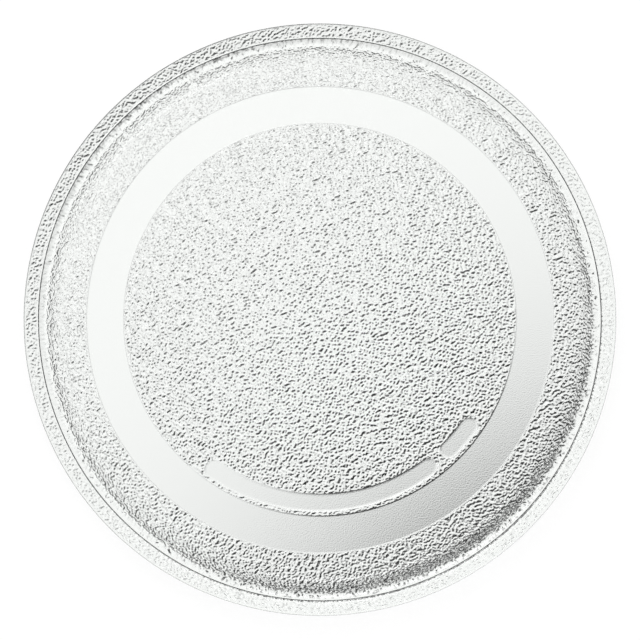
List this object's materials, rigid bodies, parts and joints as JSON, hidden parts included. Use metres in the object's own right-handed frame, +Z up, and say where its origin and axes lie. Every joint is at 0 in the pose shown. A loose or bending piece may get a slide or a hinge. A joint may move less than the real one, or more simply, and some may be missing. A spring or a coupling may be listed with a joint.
{
  "type": "microwave turntable plate",
  "caption": "Round clear pressed-glass plate for a microwave oven, with a shallow well, a raised lip and a smooth roller track under its pebbled base.",
  "frame": {"origin": "centre of the roller track's face, at the bottom of the plate", "axes": "+Z up along the axis that the plate turns on, towards the food; -Y towards the long bare label pad"},
  "size_m": [0.245, 0.245, 0.013],
  "materials": {
    "glass": "clear pressed glass, smooth on top, pebbled underneath, with a fine satin roller track"
  },
  "bodies": {
    "root": {"turntable_plate": "glass"}
  },
  "joints": []
}
